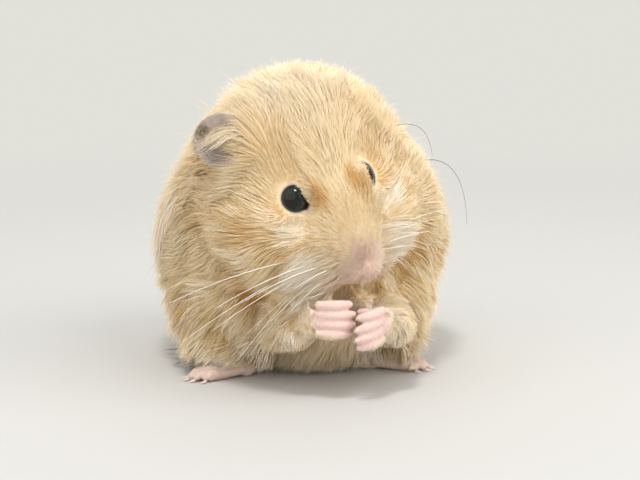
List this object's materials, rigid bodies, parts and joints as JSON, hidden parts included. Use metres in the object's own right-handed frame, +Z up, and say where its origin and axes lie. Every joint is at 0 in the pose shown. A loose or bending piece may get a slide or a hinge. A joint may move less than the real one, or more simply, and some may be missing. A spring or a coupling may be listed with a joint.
{
  "type": "syrian hamster model",
  "caption": "Life-size golden Syrian hamster sitting hunched on its haunches, head bowed and turned to its left, forepaws held together under the mouth; still display model.",
  "frame": {"origin": "below the middle of the animal's bounding box, on the plane that it sits on", "axes": "+Z up, -Y the way the body faces, +X the animal's own left"},
  "size_m": [0.0678, 0.0894, 0.0673],
  "materials": {
    "coat": "long soft fur, cream at the tips and apricot to golden below, in fine overlapping tufts",
    "pale_coat": "short pale cream fur on the forelegs",
    "bare_skin": "pink skin of paws, feet, nose and tail under a thin white down, faintly moist",
    "ear_skin": "thin grey to violet-brown ear skin with a fine short down",
    "eye": "near-black, very glossy and wet",
    "claw": "pale translucent horn, satin"
  },
  "bodies": {
    "root": {"head": "coat", "lower_jaw": "coat", "neck": "coat", "trunk": "coat", "hind_leg_left": "coat", "hind_leg_right": "coat", "foreleg_left": "pale_coat", "foreleg_right": "pale_coat", "eye_left": "eye", "eye_right": "eye", "ear_left": "ear_skin", "ear_right": "ear_skin", "forepaw_left": "bare_skin", "forepaw_right": "bare_skin", "hind_foot_left": "bare_skin", "hind_foot_right": "bare_skin", "nose": "bare_skin", "tail": "bare_skin", "finger_claw_left_1": "claw", "finger_claw_left_2": "claw", "finger_claw_left_3": "claw", "finger_claw_left_4": "claw", "finger_claw_right_1": "claw", "finger_claw_right_2": "claw", "finger_claw_right_3": "claw", "finger_claw_right_4": "claw", "toe_claw_left_1": "claw", "toe_claw_left_2": "claw", "toe_claw_left_3": "claw", "toe_claw_left_4": "claw", "toe_claw_left_5": "claw", "toe_claw_right_1": "claw", "toe_claw_right_2": "claw", "toe_claw_right_3": "claw", "toe_claw_right_4": "claw", "toe_claw_right_5": "claw"}
  },
  "joints": []
}
